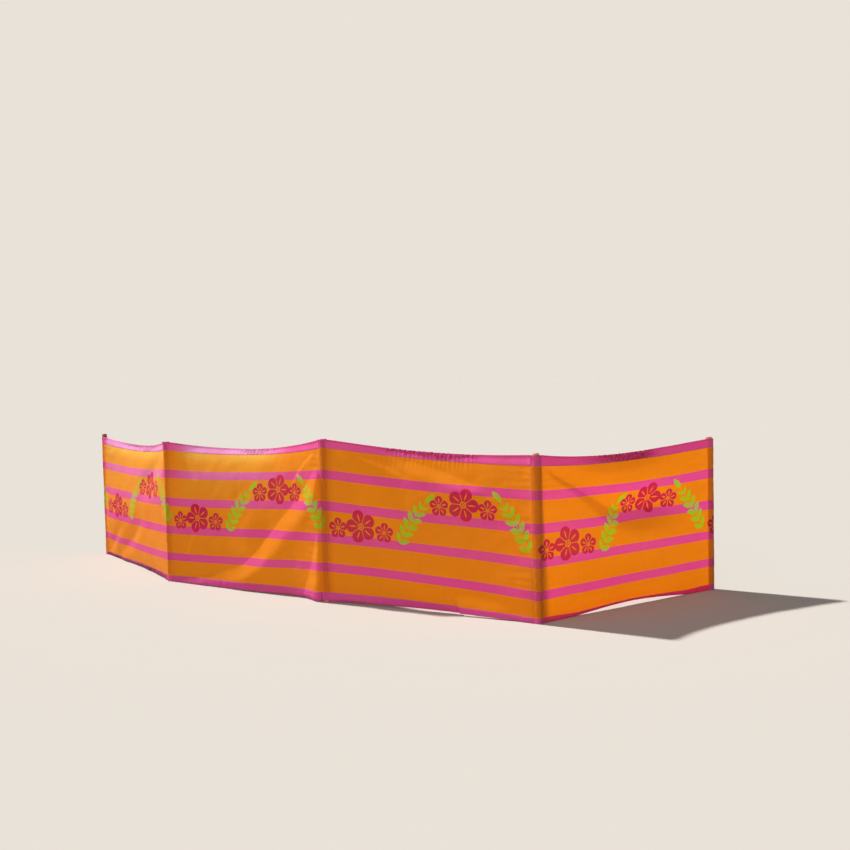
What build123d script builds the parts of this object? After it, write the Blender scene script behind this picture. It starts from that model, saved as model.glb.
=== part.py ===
"""Beach windbreak: one long cloth in four bays on five round poles.

Every size is in millimetres. The origin is the middle of pole 3's foot, on the ground.
+Z is up, +X runs along the row of poles and +Y is the far side.
"""

import os
from math import asin, cos, degrees, radians, sin

from build123d import *

# The row of poles. A heading is the direction from one pole to the next, seen from above.
BAY_LENGTH = 1250.0
BAY_HEADINGS = (-55.4, -33.3, -27.8, 33.1)
ORIGIN_POLE = 3

# Round wooden poles. A tip is the length that stands out above the cloth, or ends below it.
POLE_DIAMETER = 32.0
POLE_TIPS = (18.0, -3.0, -4.0, 9.0, 9.0)
POLE_EDGE_ROUND = 4.0

# The cloth at each pole: the height of its top edge, and of its lower edge, above the ground.
CLOTH_TOPS = (855.0, 871.0, 908.0, 841.0, 856.0)
CLOTH_FEET = (2.0, 2.0, 10.0, 2.0, 2.0)
CLOTH_THICKNESS = 2.0

# The cloth between two poles: how far it hangs down, lifts off the ground and bellies out.
TOP_SAGS = (48.0, 60.0, 36.0, 38.0)
FOOT_LIFTS = (8.0, 2.0, 8.0, 20.0)
BELLY = 18.0

# The cloth passes in front of the poles, its middle this far before their middle line.
CLOTH_FORWARD = 14.0

# Folded hems. The lower one shows less where the cloth sits down into the ground, and where
# it curls under itself half-way between two poles.
HEM_THICKNESS = 3.0
TOP_HEM = 50.0
TOP_HEM_MIDDLE = 38.0
FOOT_HEMS = (20.0, 36.0, 48.0, 26.0, 32.0)
FOOT_CURLS = (10.0, 0.0, 0.0, 14.0)

# Pockets sewn round the poles. A seam is this far from the pole's middle line.
POCKET_SEAM = 25.0
POCKET_CLEARANCE = 0.3
SEAM_THICKNESS = 3.0

# The short loose end of hem tape on the last pocket: how far it stands out, and its own height.
TAPE_REACH = 14.0
TAPE_WIDTH = 10.0
TAPE_THICKNESS = 2.0
TAPE_BELOW_TOP = 34.0

PARTS = "parts"


def pole_feet():
    """Where the poles stand, in plan, with the origin at ORIGIN_POLE."""
    points = [Vector(0, 0)]
    for heading in BAY_HEADINGS:
        step = Vector(cos(radians(heading)), sin(radians(heading))) * BAY_LENGTH
        points.append(points[-1] + step)
    home = points[ORIGIN_POLE - 1]
    return [point - home for point in points]


FEET = pole_feet()


class Bay:
    """The cloth between two neighbouring poles, as a shallow arc in plan."""

    def __init__(self, index):
        self.index = index
        self.plane = Plane(
            origin=FEET[index],
            x_dir=(cos(radians(BAY_HEADINGS[index])), sin(radians(BAY_HEADINGS[index])), 0),
            z_dir=(0, 0, 1),
        )
        self.radius = (BAY_LENGTH**2 / 4 + BELLY**2) / (2 * BELLY)
        self.centre = Vector(BAY_LENGTH / 2, BELLY - CLOTH_FORWARD - self.radius)
        self.half_angle = degrees(asin(BAY_LENGTH / 2 / self.radius))
        self.seam_angle = degrees(POCKET_SEAM / self.radius)

    def arc(self, radius, angle_1, angle_2):
        """Part of a circle about the arc's centre, in degrees from its middle."""
        return CenterArc(self.centre, radius, 90 - angle_2, angle_2 - angle_1)

    def at(self, radius, angle):
        """A point of that circle."""
        return self.centre + Vector(sin(radians(angle)), cos(radians(angle))) * radius

    def strip(self, thickness):
        """The cloth's plan from seam to seam, drawn in the bay's own plane."""
        end = self.half_angle - self.seam_angle
        outer = self.radius + thickness / 2
        inner = self.radius - thickness / 2
        edges = [
            self.arc(outer, -end, end),
            self.arc(inner, -end, end),
            Line(self.at(inner, -end), self.at(outer, -end)),
            Line(self.at(inner, end), self.at(outer, end)),
        ]
        return make_face(edges)

    def seam(self, at_start):
        """The short edge where a pocket of this bay ends, in the row's plan."""
        angle = self.half_angle - self.seam_angle
        if at_start:
            angle = -angle
        ends = [self.at(self.radius + side * SEAM_THICKNESS / 2, angle) for side in (-1, 1)]
        return Line(*[self.plane.from_local_coords(point) for point in ends])

    def top_edge(self, depth_at_poles=0.0, depth_in_middle=0.0):
        """Start, middle and end height of a line that runs below the top edge."""
        start = CLOTH_TOPS[self.index] - depth_at_poles
        end = CLOTH_TOPS[self.index + 1] - depth_at_poles
        middle = (CLOTH_TOPS[self.index] + CLOTH_TOPS[self.index + 1]) / 2
        return start, middle - TOP_SAGS[self.index] - depth_in_middle, end

    def foot_edge(self, above_hem=False):
        """Start, middle and end height of the lower edge, or of the top of its hem."""
        feet = CLOTH_FEET[self.index : self.index + 2]
        hems = FOOT_HEMS[self.index : self.index + 2] if above_hem else (0.0, 0.0)
        curl = FOOT_CURLS[self.index] if above_hem else 0.0
        start, end = (foot + hem for foot, hem in zip(feet, hems))
        return start, (start + end) / 2 + FOOT_LIFTS[self.index] - curl, end

    def curve(self, heights):
        """A parabola from pole to pole through three heights, in the bay's upright plane."""
        start, middle, end = heights
        pull = 2 * middle - (start + end) / 2
        return Bezier((0, start), (BAY_LENGTH / 2, pull), (BAY_LENGTH, end))

    def piece(self, thickness, upper, lower):
        """The strip of cloth between two of those lines."""
        outline = [
            self.curve(upper),
            self.curve(lower),
            Line((0, lower[0]), (0, upper[0])),
            Line((BAY_LENGTH, lower[2]), (BAY_LENGTH, upper[2])),
        ]
        reach = BELLY + CLOTH_FORWARD + thickness
        wall = extrude(Plane.XZ * make_face(outline), amount=reach, both=True)
        tall = max(CLOTH_TOPS) + thickness
        cloth = extrude(self.strip(thickness), amount=tall) & wall
        return self.plane * cloth


def pole(index):
    """A round pole from the ground to its tip, with an eased top edge."""
    height = CLOTH_TOPS[index] + POLE_TIPS[index]
    solid = extrude(Pos(*FEET[index]) * Circle(POLE_DIAMETER / 2), amount=height)
    return fillet(solid.edges().group_by(Axis.Z)[-1], POLE_EDGE_ROUND)


def pocket(index):
    """Two layers of cloth closed round a pole and sewn together at each seam."""
    bore = POLE_DIAMETER / 2 + POCKET_CLEARANCE
    around = Pos(*FEET[index]) * Circle(bore + CLOTH_THICKNESS)
    edges = list(around.edges())
    if index > 0:
        edges.append(BAYS[index - 1].seam(at_start=False))
    if index < len(BAYS):
        edges.append(BAYS[index].seam(at_start=True))
    plan = make_hull(ShapeList(edges)) - Pos(*FEET[index]) * Circle(bore)
    height = CLOTH_TOPS[index] - CLOTH_FEET[index]
    return extrude(Pos(0, 0, CLOTH_FEET[index]) * plan, amount=height)


def tape_end():
    """The loose end of hem tape, flat against the far side of the last pocket."""
    heading = BAY_HEADINGS[-1]
    pocket_radius = POLE_DIAMETER / 2 + POCKET_CLEARANCE + CLOTH_THICKNESS
    middle = CLOTH_TOPS[-1] - TAPE_BELOW_TOP - TAPE_WIDTH / 2
    tape = Box(
        pocket_radius + TAPE_REACH,
        TAPE_THICKNESS,
        TAPE_WIDTH,
        align=(Align.MIN, Align.CENTER, Align.CENTER),
    )
    around = Cylinder(pocket_radius, TAPE_WIDTH * 2)
    return Pos(*FEET[-1]) * Pos(0, 0, middle) * Rot(0, 0, heading) * (tape - around)


BAYS = [Bay(index) for index in range(len(BAY_HEADINGS))]

os.makedirs(PARTS, exist_ok=True)
for index in range(len(FEET)):
    export_step(pole(index), f"{PARTS}/pole_{index + 1}.step")
    export_step(pocket(index), f"{PARTS}/pocket_{index + 1}.step")
export_step(tape_end(), f"{PARTS}/tape_end.step")
for bay in BAYS:
    number = bay.index + 1
    top = bay.top_edge()
    under_top = bay.top_edge(TOP_HEM, TOP_HEM_MIDDLE)
    over_foot = bay.foot_edge(above_hem=True)
    foot = bay.foot_edge()
    export_step(bay.piece(HEM_THICKNESS, top, under_top), f"{PARTS}/top_hem_{number}.step")
    export_step(bay.piece(CLOTH_THICKNESS, under_top, over_foot), f"{PARTS}/panel_{number}.step")
    export_step(bay.piece(HEM_THICKNESS, over_foot, foot), f"{PARTS}/foot_hem_{number}.step")
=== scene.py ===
# %% [markdown]
# # Dressing a beach windbreak
#
# One long striped cloth in four bays is sewn round five wooden poles. The solids of model.glb say where
# everything is, and this lesson puts the real surfaces over them: creased cloth, gathered hems, sleeves,
# thread, wood grain and a print. In metres, +X runs along the poles, +Y is the far side and +Z is up.

from math import cos, pi, radians, sin

import bmesh
import bpy
import numpy as np
from mathutils import Matrix, Vector
from mathutils.geometry import convex_hull_2d


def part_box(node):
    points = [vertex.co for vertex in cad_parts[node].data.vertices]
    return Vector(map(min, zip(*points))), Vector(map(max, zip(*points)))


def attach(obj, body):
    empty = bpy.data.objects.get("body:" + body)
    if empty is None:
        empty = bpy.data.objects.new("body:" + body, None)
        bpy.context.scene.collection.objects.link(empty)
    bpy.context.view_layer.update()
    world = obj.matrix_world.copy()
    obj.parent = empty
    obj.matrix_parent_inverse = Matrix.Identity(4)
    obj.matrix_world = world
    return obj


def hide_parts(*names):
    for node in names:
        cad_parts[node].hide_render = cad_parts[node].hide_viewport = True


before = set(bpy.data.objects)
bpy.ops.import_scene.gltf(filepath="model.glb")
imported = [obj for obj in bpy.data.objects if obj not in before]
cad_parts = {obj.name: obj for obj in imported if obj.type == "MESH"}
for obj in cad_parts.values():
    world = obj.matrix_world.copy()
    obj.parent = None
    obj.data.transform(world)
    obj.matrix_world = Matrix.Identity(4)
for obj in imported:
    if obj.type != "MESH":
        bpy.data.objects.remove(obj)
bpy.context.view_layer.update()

# %% [markdown]
# ## Sizes
#
# The cloth is hung from the same few numbers as the solids, or within a few millimetres of them: the
# bend of the row, the height of the cloth at each pole, how far its foot lifts between two poles.
# Numbers, and not points read off a mesh, keep every later shape smooth at any fineness.

# %% The row of poles and the cloth's lines
BAY_LENGTH = 1.25
BAY_HEADINGS = (-55.4, -33.3, -27.8, 33.1)
BELLY = 0.018
CLOTH_FORWARD = 0.014
POLE_RADIUS = 0.016
SLEEVE_SEAM = 0.025
CLOTH_TOPS = (0.855, 0.871, 0.908, 0.841, 0.856)
CLOTH_FEET = (0.002, 0.002, 0.010, 0.002, 0.002)
FOOT_LIFTS = (0.008, 0.002, 0.008, 0.019)
FOOT_HEMS = (0.020, 0.036, 0.048, 0.026, 0.032)
FOOT_CURLS = (0.010, 0.000, 0.000, 0.018)

pole_feet = [np.zeros(2)]
for heading in BAY_HEADINGS:
    step = np.array((cos(radians(heading)), sin(radians(heading))))
    pole_feet.append(pole_feet[-1] + BAY_LENGTH * step)
pole_feet = np.array(pole_feet) - pole_feet[2]
print("poles stand at", pole_feet.round(3).tolist())

# %% [markdown]
# ## The cloth's printed lines
#
# A mark on the cloth is named by its depth below the top edge of the flat cloth. Sewing and wind move
# each printed line a few millimetres, so one table says how deep it comes out at each pole. Between two
# poles the top edge hangs down most and the stripes under it less and less: a second table gives that
# hang, and a swing moves its lowest place towards one pole. A cubic curve joins the lines.

# %% Height of any mark on a bay
LINE_DEPTHS = np.array((0.0, 0.05, 0.17, 0.34, 0.51, 0.68, 0.73, 0.85, 0.90))
POLE_DEPTHS = (
    (0.0, 0.052, 0.178, 0.352, 0.520, 0.686, 0.733),
    (0.0, 0.051, 0.172, 0.346, 0.522, 0.690, 0.738),
    (0.0, 0.048, 0.168, 0.341, 0.522, 0.684, 0.733),
    (0.0, 0.054, 0.175, 0.341, 0.515, 0.678, 0.725),
    (0.0, 0.048, 0.169, 0.345, 0.520, 0.676, 0.722),
)
LINE_HANGS = (
    (0.048, 0.034, 0.025, 0.018, 0.014, 0.016, 0.014),
    (0.060, 0.044, 0.024, 0.015, 0.004, 0.007, 0.004),
    (0.036, 0.025, 0.019, 0.014, 0.000, -0.002, -0.004),
    (0.038, 0.029, 0.024, 0.012, 0.003, 0.003, 0.001),
)
TOP_SWINGS = (0.0, 0.0, 0.0, 0.30)
LIFT_SPANS = ((0.0, 1.0), (0.0, 1.0), (0.0, 1.0), (0.20, 0.84))


def line_heights(bay, x):
    """Height of each printed line at distances x along a bay: one row for each line."""
    share = np.asarray(x, float) / BAY_LENGTH
    middle = 4 * share * (1 - share)
    top = CLOTH_TOPS[bay] + (CLOTH_TOPS[bay + 1] - CLOTH_TOPS[bay]) * share
    foot = CLOTH_FEET[bay] + (CLOTH_FEET[bay + 1] - CLOTH_FEET[bay]) * share
    start, end = LIFT_SPANS[bay]
    lifted = np.clip((share - start) / (end - start), 0, 1)
    foot = foot + FOOT_LIFTS[bay] * (4 * lifted * (1 - lifted)) ** 1.2
    hem = FOOT_HEMS[bay] + (FOOT_HEMS[bay + 1] - FOOT_HEMS[bay]) * share - FOOT_CURLS[bay] * middle**1.5
    rows = []
    for first, second, hang in zip(POLE_DEPTHS[bay], POLE_DEPTHS[bay + 1], LINE_HANGS[bay]):
        swing = 1 + TOP_SWINGS[bay] * (1 - 2 * share) * max(0.0, 1 - first / 0.17)
        rows.append(top - first - (second - first) * share - hang * middle * swing)
    return np.stack(rows + [foot + hem, foot])


def height_of(bay, x, depth):
    """Height of the mark at this depth, by a cubic curve through the printed lines."""
    x, depth = np.broadcast_arrays(np.asarray(x, float), np.asarray(depth, float))
    rows = line_heights(bay, x)
    spans = np.diff(LINE_DEPTHS)
    slopes = np.diff(rows, axis=0) / spans.reshape(-1, *[1] * x.ndim)
    tangents = np.concatenate([slopes[:1], (slopes[1:] + slopes[:-1]) / 2, slopes[-1:]])
    k = np.clip(np.searchsorted(LINE_DEPTHS, depth, side="right") - 1, 0, len(spans) - 1)
    t = (depth - LINE_DEPTHS[k]) / spans[k]

    def pick(table, index):
        return np.take_along_axis(table, index[None], 0)[0]

    low, high = pick(rows, k), pick(rows, k + 1)
    start, end = pick(tangents, k) * spans[k], pick(tangents, k + 1) * spans[k]
    return (
        (2 * t**3 - 3 * t**2 + 1) * low
        + (t**3 - 2 * t**2 + t) * start
        + (3 * t**2 - 2 * t**3) * high
        + (t**3 - t**2) * end
    )


for bay in range(4):
    print("bay", bay + 1, "stripe tops in the middle:", line_heights(bay, 0.625).round(3).tolist())

# %% [markdown]
# ## Creases
#
# Cloth simulation would make folds of its own, in other places, so the folds are drawn: each is a line
# on the bay, in metres along it and up it. On the right of the line's direction lies a flat face with a
# slope, crisp at the line and as wide as its widths say. On the left the cloth swells softly up to the
# line. Without that swell the fold is a step: flat up to the line, then down the face and out beyond.
# A lamp that shines almost along the cloth only reaches faces that stand further forward than the cloth
# on the lamp's side, which is why the folds of the second and third bay are steps.

# %% Fold lines of the four bays
FOLDS = (
    [  # points, slope of the face, its widths, width of the swell, fade at the start and the end
        (
            [(0.667, 0.501), (0.823, 0.583), (0.965, 0.667), (1.078, 0.749), (1.186, 0.832)],
            0.13, (0.08, 0.14, 0.15, 0.12, 0.07), 0.085, (0.30, 0.04),
        ),
        (
            [(0.234, 0.021), (0.398, 0.097), (0.540, 0.184), (0.710, 0.293), (0.823, 0.347)],
            0.16, (0.05, 0.07, 0.07, 0.07), 0.070, (0.08, 0.40),
        ),
        (
            [(0.053, 0.029), (0.158, 0.105), (0.285, 0.203), (0.427, 0.297)],
            0.14, (0.04, 0.06, 0.06, 0.04), 0.050, (0.10, 0.40),
        ),
    ],
    [
        (
            [(0.058, 0.009), (0.200, 0.043), (0.313, 0.071), (0.455, 0.103), (0.583, 0.142), (0.682, 0.211),
             (0.772, 0.309), (0.880, 0.426), (0.965, 0.509), (1.050, 0.583), (1.135, 0.674), (1.197, 0.760)],
            0.30, (0.012, 0.04, 0.06, 0.08, 0.10, 0.11, 0.11, 0.09, 0.06), None, (0.06, 0.03),
        ),
        (
            [(1.060, -0.010), (1.084, 0.065), (1.116, 0.135), (1.146, 0.222), (1.174, 0.309), (1.192, 0.398)],
            0.25, (0.11, 0.09, 0.07, 0.045, 0.025), None, (0.02, 0.15),
        ),
        (
            [(0.971, 0.611), (1.022, 0.703), (1.093, 0.777), (1.177, 0.839)],
            0.34, (0.018, 0.018), None, (0.30, 0.15),
        ),
        ([(0.554, 0.515), (0.557, 0.598), (0.563, 0.690)], 0.10, (0.012, 0.012), 0.020, (0.25, 0.25)),
        ([(0.138, 0.159), (0.186, 0.277), (0.234, 0.414)], 0.16, (0.03, 0.03), None, (0.30, 0.30)),
    ],
    [
        (
            [(0.132, 0.850), (0.285, 0.803), (0.427, 0.747), (0.554, 0.685)],
            0.28, (0.02, 0.03, 0.03), None, (0.20, 0.30),
        ),
        (
            [(0.370, 0.814), (0.540, 0.779), (0.710, 0.737), (0.852, 0.692), (0.988, 0.651)],
            0.26, (0.03, 0.06, 0.06, 0.02), None, (0.30, 0.15),
        ),
        (
            [(0.755, 0.097), (0.795, 0.114), (0.880, 0.115), (1.022, 0.084), (1.163, 0.032)],
            0.26, (0.06, 0.06, 0.04, 0.01), None, (0.08, 0.30),
        ),
        ([(0.186, 0.212), (0.285, 0.152), (0.398, 0.051)], 0.10, (0.05, 0.05), None, (0.30, 0.10)),
    ],
    [
        (
            [(0.030, 0.789), (0.158, 0.713), (0.271, 0.659), (0.398, 0.587), (0.512, 0.531), (0.682, 0.498),
             (0.852, 0.501), (1.022, 0.494), (1.135, 0.480)],
            0.46, (0.020, 0.03, 0.05, 0.09, 0.12, 0.12, 0.10), 0.10, (0.10, 0.30),
        ),
        (
            [(0.200, 0.791), (0.455, 0.768), (0.738, 0.774), (0.965, 0.803)],
            0.20, (0.05, 0.05), 0.030, (0.30, 0.30),
        ),
        (
            [(0.087, 0.071), (0.370, 0.087), (0.767, 0.093), (1.107, 0.081)],
            -0.10, (0.08, 0.08), 0.100, (0.20, 0.20),
        ),
    ],
)
print("folds drawn:", [len(folds) for folds in FOLDS])

# %% Depth of the folds at any place
CREASE_ROUND = 0.004
STEP_RETURN = 0.45


def eased(low, high, value):
    """0 up to low, 1 from high on, and a smooth ramp between them."""
    t = np.clip((value - low) / (high - low), 0, 1)
    return t * t * (3 - 2 * t)


def smooth_line(points, steps=12):
    """A smooth curve through the points of a fold, as close short runs."""
    p = np.array(points, float)
    p = np.vstack([2 * p[0] - p[1], p, 2 * p[-1] - p[-2]])
    t = np.linspace(0, 1, steps, endpoint=False)[:, None]
    runs = [
        0.5 * (2 * b + (c - a) * t + (2 * a - 5 * b + 4 * c - d) * t**2 + (3 * b - a - 3 * c + d) * t**3)
        for a, b, c, d in zip(p, p[1:], p[2:], p[3:])
    ]
    return np.vstack(runs + [p[-2:-1]])


def fold_depth(fold, x, z):
    """How far one fold draws the cloth back at places x along the bay and z up it."""
    points, slope, widths, swell, (start_fade, end_fade) = fold
    line = smooth_line(points)
    run = np.concatenate([[0], np.cumsum(np.linalg.norm(np.diff(line, axis=0), axis=1))])
    place = np.stack([x.ravel(), z.ravel()], 1)
    nearest = np.full(len(place), 9.0)
    signed, at = np.zeros(len(place)), np.zeros(len(place))
    for a, b, start in zip(line, line[1:], run):
        way = b - a
        length = np.hypot(*way)
        t = np.clip(((place - a) @ way) / length**2, 0, 1)
        off = place - (a + t[:, None] * way)
        far = np.hypot(off[:, 0], off[:, 1])
        closer = far < nearest
        side = -np.sign(way[0] * off[:, 1] - way[1] * off[:, 0])
        nearest = np.where(closer, far, nearest)
        signed = np.where(closer, side * far, signed)
        at = np.where(closer, (start + t * length) / run[-1], at)
    fade = eased(0, start_fade, at) * eased(0, end_fade, 1 - at)
    width = np.interp(at, np.linspace(0, 1, len(widths)), widths)
    past = (signed + np.sqrt(signed**2 + CREASE_ROUND**2)) / 2 / width
    face = np.where(past < 0.7, 1 - past, np.clip(1.3 - past, 0, None) ** 2 / 1.2)
    if swell is None:
        shape = (face - 1) * np.exp(-np.maximum(signed - width, 0) / STEP_RETURN)
    else:
        shape = face * np.exp(-((np.minimum(signed, 0) / swell) ** 2))
    return (slope * width * fade * shape).reshape(x.shape)


# %% [markdown]
# Between the folds, long, low waves in random directions from a fixed seed give the cloth its soft
# unevenness, and small pleats run out from each pole, where the sleeve pulls. The cloth also bellies
# from top to foot, by the depths in the tables below. Top edges lean back and so turn to the light,
# crowns draw back the band under them, tilts let a bay lean, and a swell holds the second bay back. A
# swell runs the way the light falls along the cloth and is measured across it, because a swell that the
# light had to climb would lie in its own shade.

# %% Soft unevenness and pleats
def wavy(x, z, seed, longest, shortest, height, count=26):
    """A smooth random surface, the sum of waves from longest to shortest, about height high."""
    random = np.random.default_rng(seed)
    total = np.zeros(np.broadcast(x, z).shape)
    for _ in range(count):
        length = shortest * (longest / shortest) ** random.uniform()
        angle, phase = random.uniform(0, pi), random.uniform(0, 2 * pi)
        total += length / longest * np.sin(2 * pi * (x * cos(angle) + z * sin(angle)) / length + phase)
    return height * total / np.sqrt(count / 6)


GATHERS = (
    (0.20, 0.45, 0.90, 1.12), (0.48, 0.58, 0.78, 0.90), (0.26, 0.40, 0.86, 0.94), (0.22, 0.60, 0.76, 0.90),
)
TOP_LEANS = (0.026, 0.032, 0.012, 0.018)
CROWNS = (0.010, 0.022, 0.0, 0.0)
UPRIGHT_CURVES = (0.09, 0.06, 0.05, 0.02)
TILTS = (0.0, 0.0, 0.055, 0.0)
SWELLS = ((0.30, 0.16, -0.012), (1.02, 0.34, 0.047), (0.60, 0.30, 0.0), (0.60, 0.30, 0.0))
ACROSS_LIGHT = (0.778, 0.628)
PLEAT = 0.0011


def gathered(bay, x):
    """How strongly the top hem is gathered: 0, rising to 1 where its puckers are closest, 0 again."""
    start, full, falling, end = GATHERS[bay]
    return eased(start, full, x) * (1 - eased(falling, end, x))


def risen(distance, reach):
    """0 up to distance 0, then up to nearly 1 within a few reaches."""
    return 1 - np.exp(-np.maximum(distance, 0) / reach)


def uneven(bay, x, z, depth):
    """Everything that moves the cloth towards the viewer or away, apart from its belly."""
    folds = sum(fold_depth(fold, x, z) for fold in FOLDS[bay])
    middle, width, height = SWELLS[bay]
    across_light = (ACROSS_LIGHT[0] * x + ACROSS_LIGHT[1] * z - middle) / width
    swell = height * risen(x, 0.12) * risen(BAY_LENGTH - x, 0.12) * np.exp(-(across_light**2))
    waves = wavy(x, z, 11 + bay, 0.60, 0.18, 0.0016) + wavy(x, z, 31 + bay, 0.14, 0.05, 0.0003)
    from_pole = np.minimum(x, BAY_LENGTH - x)
    pleats = PLEAT * np.exp(-from_pole / 0.09) * np.sin(2 * pi * z / 0.052 + 3 * np.sin(z * 23 + bay))
    ripple = np.sin(2 * pi * (x + 0.004 * np.sin(x * 71)) / 0.027 + bay)
    ripples = PLEAT * gathered(bay, x) * (1 - risen(depth - 0.05, 0.035)) * ripple
    slack = np.clip(4 * x * (BAY_LENGTH - x) / BAY_LENGTH**2, 0, 1)
    lean = TOP_LEANS[bay] * slack**0.7 * (1 - risen(depth, 0.075))
    crown = CROWNS[bay] * np.exp(-((depth / 0.14) ** 2))
    curve = UPRIGHT_CURVES[bay] * ((depth - 0.5) ** 2 - 0.05)
    belly = slack * (crown + curve + TILTS[bay] * z)
    at_seam = risen(from_pole - SLEEVE_SEAM + 0.002, 0.012)
    return at_seam * (folds + swell + waves + pleats + ripples + lean + belly)


# %% [markdown]
# The cloth's place follows: along the bay's shallow arc, up to the height of its mark, and back by its
# unevenness. Hems and stitches ask the same function, so that they all lie in the same folds.

# %% Any place on the cloth
ARC_RADIUS = (BAY_LENGTH**2 / 4 + BELLY**2) / (2 * BELLY)


def bay_axes(bay):
    """(first pole's foot, direction along the bay, direction to the far side), in plan."""
    heading = radians(BAY_HEADINGS[bay])
    return pole_feet[bay], np.array((cos(heading), sin(heading))), np.array((-sin(heading), cos(heading)))


def in_world(bay, x, back, z):
    """World places from a bay's own measures: along it, back from its chord, and up."""
    foot, along, away = bay_axes(bay)
    x, back, z = np.broadcast_arrays(x, back, z)
    plan = foot + x[..., None] * along + back[..., None] * away
    return np.concatenate([plan, z[..., None]], -1)


def arc_back(x):
    """How far back from the chord the bay's arc lies. At its ends it passes in front of the poles."""
    return np.sqrt(ARC_RADIUS**2 - (x - BAY_LENGTH / 2) ** 2) - (ARC_RADIUS - BELLY) - CLOTH_FORWARD


def cloth_back(bay, x, z, depth):
    """How far back from the bay's chord the middle of the cloth lies."""
    return arc_back(x) + uneven(bay, x, z, depth)


x, depth = np.linspace(0.05, 1.2, 60)[None, :], np.linspace(0.06, 0.84, 40)[:, None]
for bay in range(4):
    back = 1000 * uneven(bay, *np.broadcast_arrays(x, height_of(bay, x, depth), depth))
    print("bay", bay + 1, "folds from", round(back.min(), 1), "to", round(back.max(), 1), "mm")

# %% [markdown]
# ## From rows of points to a mesh
#
# All the cloth is made of grids: rows across, columns along. One helper turns a grid into a smooth
# mesh and keeps in a UV map called cloth how far along the whole cloth each point is and how deep below
# the top edge, in metres. The print reads that map, so a stripe runs straight on across the sleeves.

# %% A grid of points as a piece
ROOT = "root"
made = {}


def add_piece(name, points, faces, material, cloth_places=None):
    """A smooth mesh piece that rides on the part. cloth_places is one (along, depth) for each point."""
    mesh = bpy.data.meshes.new(name)
    mesh.from_pydata(np.asarray(points, float).reshape(-1, 3).tolist(), [], list(map(list, faces)))
    if cloth_places is not None:
        places = np.asarray(cloth_places, np.float32).reshape(-1, 2)
        corners = np.zeros(len(mesh.loops), np.int32)
        mesh.loops.foreach_get("vertex_index", corners)
        layer = mesh.uv_layers.new(name="cloth")
        layer.data.foreach_set("uv", places[corners].ravel())
    mesh.polygons.foreach_set("use_smooth", [True] * len(mesh.polygons))
    mesh.materials.append(material)
    mesh.update()
    piece = bpy.data.objects.new(name, mesh)
    bpy.context.scene.collection.objects.link(piece)
    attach(piece, ROOT)
    made[name] = piece
    print(name, "faces", len(mesh.polygons))
    return piece


def grid_faces(rows, columns, round_rows=False, round_columns=False):
    """Four-sided faces of a grid, which may close on itself either way."""
    index = np.arange(rows * columns).reshape(rows, columns)
    if round_rows:
        index = np.vstack([index, index[:1]])
    if round_columns:
        index = np.hstack([index, index[:, :1]])
    corners = [index[:-1, :-1], index[:-1, 1:], index[1:, 1:], index[1:, :-1]]
    return np.stack(corners, -1).reshape(-1, 4).tolist()


def add_painted_shade(piece, values):
    """The amount of painted shade at each point of a piece, which its material reads as an attribute."""
    shade_amount = piece.data.attributes.new("painted_shade", "FLOAT", "POINT")
    shade_amount.data.foreach_set("value", np.asarray(values, np.float32).ravel())


# %% [markdown]
# ## Sums that become nodes
#
# A material with a drawn pattern is mostly sums. This small class wraps what a node puts out, so that
# plain arithmetic with it adds the math nodes, and a pattern reads like the formula that it is.

# %% Values to reckon with
class Value:
    """What a node puts out. Arithmetic with it adds math nodes to its tree."""

    def __init__(self, socket):
        self.socket = socket

    def __add__(self, other):
        return reckon("ADD", self, other)

    def __sub__(self, other):
        return reckon("SUBTRACT", self, other)

    def __rsub__(self, other):
        return reckon("SUBTRACT", other, self)

    def __mul__(self, other):
        return reckon("MULTIPLY", self, other)

    def __truediv__(self, other):
        return reckon("DIVIDE", self, other)

    def __pow__(self, other):
        return reckon("POWER", self, other)

    def __abs__(self):
        return reckon("ABSOLUTE", self)


def feed(node, inputs):
    """Sets a node's inputs, given by name or place, to numbers or to what other nodes put out."""
    for key, value in inputs.items():
        if isinstance(value, Value):
            node.id_data.links.new(value.socket, node.inputs[key])
        else:
            node.inputs[key].default_value = value


def source(tree, kind, output=0, inputs=None, **settings):
    """What a new node in this tree puts out."""
    node = tree.nodes.new(f"ShaderNode{kind}")
    for name, setting in settings.items():
        setattr(node, name, setting)
    feed(node, inputs or {})
    return Value(node.outputs[output])


def made_of(kind, inputs, output=0, **settings):
    """What a new node makes of its inputs, in the tree that they come from."""
    tree = next(value.socket.id_data for value in inputs.values() if isinstance(value, Value))
    return source(tree, kind, output, inputs, **settings)


def reckon(operation, *values):
    """A math node on values and plain numbers."""
    return made_of("Math", dict(enumerate(values)), operation=operation)


# %% Short names for the nodes used most
def clamped(value):
    """The same value, held between 0 and 1 by the math node that makes it."""
    value.socket.node.use_clamp = True
    return value


def place(x, y, z=0.0):
    """Three numbers as a place or a colour."""
    return made_of("CombineXYZ", {0: x, 1: y, 2: z})


def split(vector):
    """The three numbers of a place."""
    node = made_of("SeparateXYZ", {0: vector}).socket.node
    return [Value(socket) for socket in node.outputs]


def noise(where, scale, detail=2.0, roughness=0.5):
    """Soft random cloudiness about 0.5."""
    inputs = {"Vector": where, "Scale": scale, "Detail": detail, "Roughness": roughness}
    return made_of("TexNoise", inputs, "Fac")


def ramp(value, start, end, low=0.0, high=1.0):
    """A smooth ramp from low to high while the value goes from start to end."""
    inputs = dict(enumerate((value, start, end, low, high)))
    return made_of("MapRange", inputs, interpolation_type="SMOOTHSTEP", clamp=True)


def mix(share, first, second, blend="MIX"):
    """The first colour, changed by a share of the second."""
    inputs = {0: share, 6: first, 7: second}
    return made_of("Mix", inputs, 2, data_type="RGBA", blend_type=blend, clamp_factor=True)


def bumped(height, distance):
    """The normal of a surface raised by this height times a distance."""
    return made_of("Bump", {"Height": height, "Distance": distance})


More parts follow.
